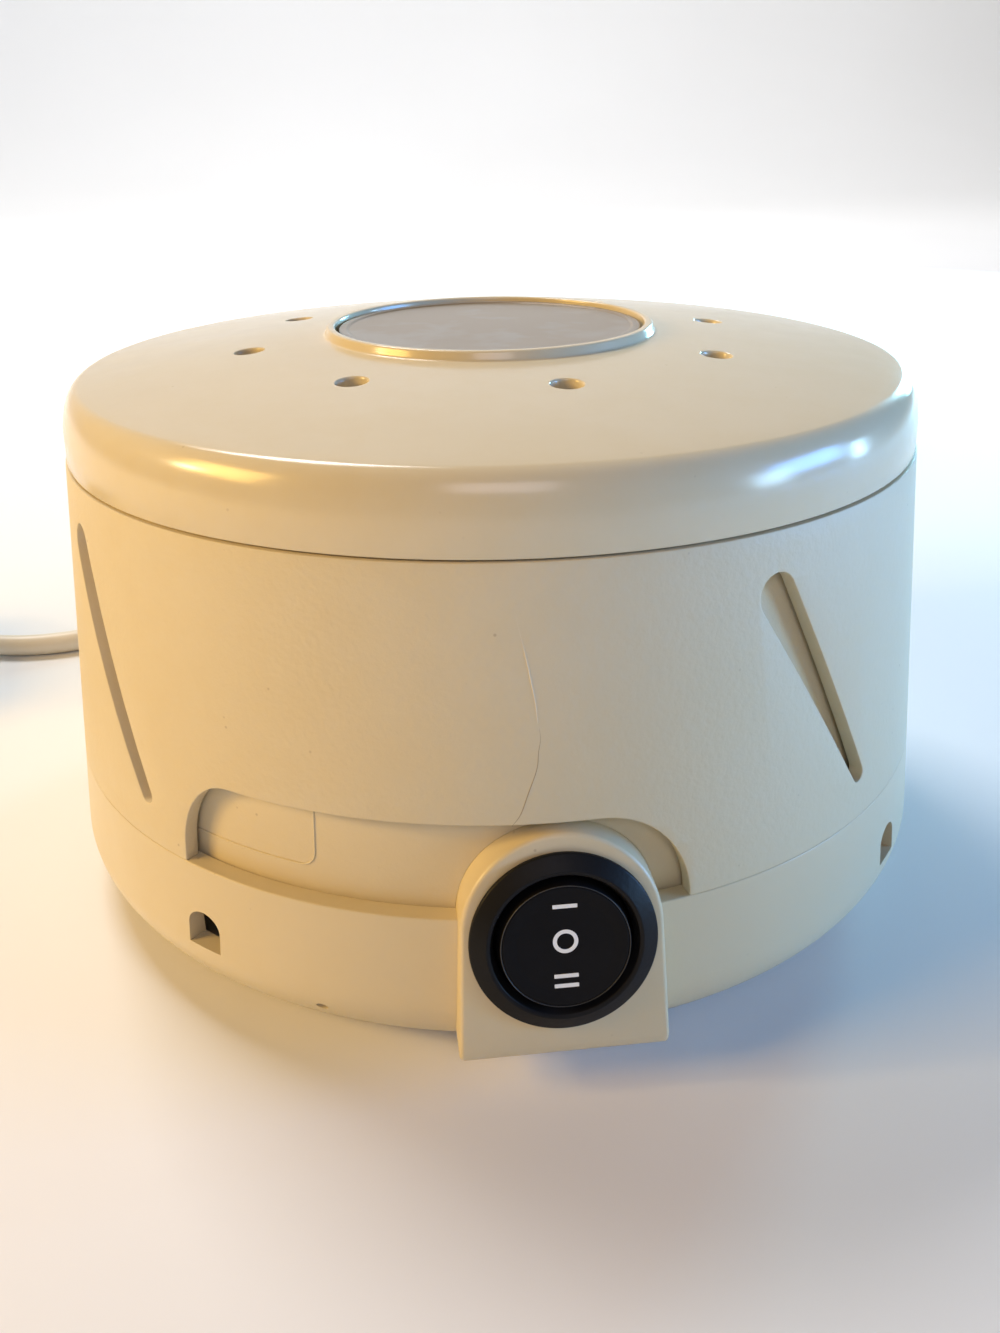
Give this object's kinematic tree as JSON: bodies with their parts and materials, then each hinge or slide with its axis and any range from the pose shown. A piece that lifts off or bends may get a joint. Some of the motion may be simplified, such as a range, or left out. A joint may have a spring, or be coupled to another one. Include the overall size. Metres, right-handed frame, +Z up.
{
  "type": "white noise machine",
  "caption": "Round table-top fan-driven white noise machine with a turning slotted collar, a turning domed cap, a front rocker switch and a mains lead.",
  "frame": {"origin": "on the surface the machine stands on, under the middle of the box round the drum and its switch housing", "axes": "+Z up along the drum's axis, -Y out of the switch, +X to the right seen from the front"},
  "size_m": [0.2763, 0.21, 0.0894],
  "materials": {
    "cap_plastic": "aged cream ABS, smooth gloss",
    "collar_plastic": "aged cream ABS, fine texture",
    "base_plastic": "aged cream ABS, satin",
    "inner_plastic": "cream ABS, fine texture",
    "badge_plastic": "cream, smooth gloss",
    "switch_plastic": "black nylon, satin",
    "rubber": "matte",
    "lead": "ivory PVC, satin",
    "steel": "zinc plated",
    "laminations": "varnished stampings",
    "winding": "enamelled copper wire",
    "brass": "plated brass",
    "nylon": "natural nylon"
  },
  "bodies": {
    "base_body": {"base": "base_plastic", "inner_housing": "inner_plastic", "foot_1": "rubber", "foot_2": "rubber", "foot_3": "rubber", "foot_4": "rubber", "housing_screw_1": "steel", "housing_screw_2": "steel", "housing_screw_3": "steel", "housing_screw_4": "steel", "stator": "laminations", "bobbin": "nylon", "winding": "winding", "lower_bracket": "steel", "upper_bracket": "steel", "lower_bearing": "brass", "upper_bearing": "brass", "motor_grommet_1": "rubber", "motor_grommet_2": "rubber", "motor_screw_1": "steel", "motor_screw_2": "steel", "switch_body": "switch_plastic", "switch_terminal_1": "brass", "switch_terminal_2": "brass", "switch_terminal_3": "brass", "strain_relief": "lead", "cord": "lead", "cord_coil": "lead", "cord_tie": "rubber", "cord_tail": "lead", "plug": "lead", "plug_blade_1": "brass", "plug_blade_2": "brass"},
    "collar_body": {"collar": "collar_plastic"},
    "cap_body": {"cap": "cap_plastic", "badge": "badge_plastic", "cap_washer": "steel", "cap_screw": "steel"},
    "rocker_body": {"rocker": "switch_plastic"},
    "fan_body": {"fan_wheel": "nylon", "fan_set_screw": "steel", "rotor": "laminations", "shaft": "steel"}
  },
  "joints": [
    {"name": "collar_turn", "type": "hinge", "parent": "base_body", "child": "collar_body", "pos_m": [0, 0.00247, 0.04], "axis": [0, 0, 1], "range_deg": [-2, 31]},
    {"name": "cap_turn", "type": "hinge", "parent": "base_body", "child": "cap_body", "pos_m": [0, 0.00247, 0.08], "axis": [0, 0, 1], "range_deg": [-22, 22]},
    {"name": "rocker_tilt", "type": "hinge", "parent": "base_body", "child": "rocker_body", "pos_m": [0, -0.07085, 0.02307], "axis": [1, 0, 0], "range_deg": [-9, 9]},
    {"name": "fan_spin", "type": "hinge", "parent": "base_body", "child": "fan_body", "pos_m": [0, 0.00247, 0.043], "axis": [0, 0, 1], "continuous": true}
  ]
}
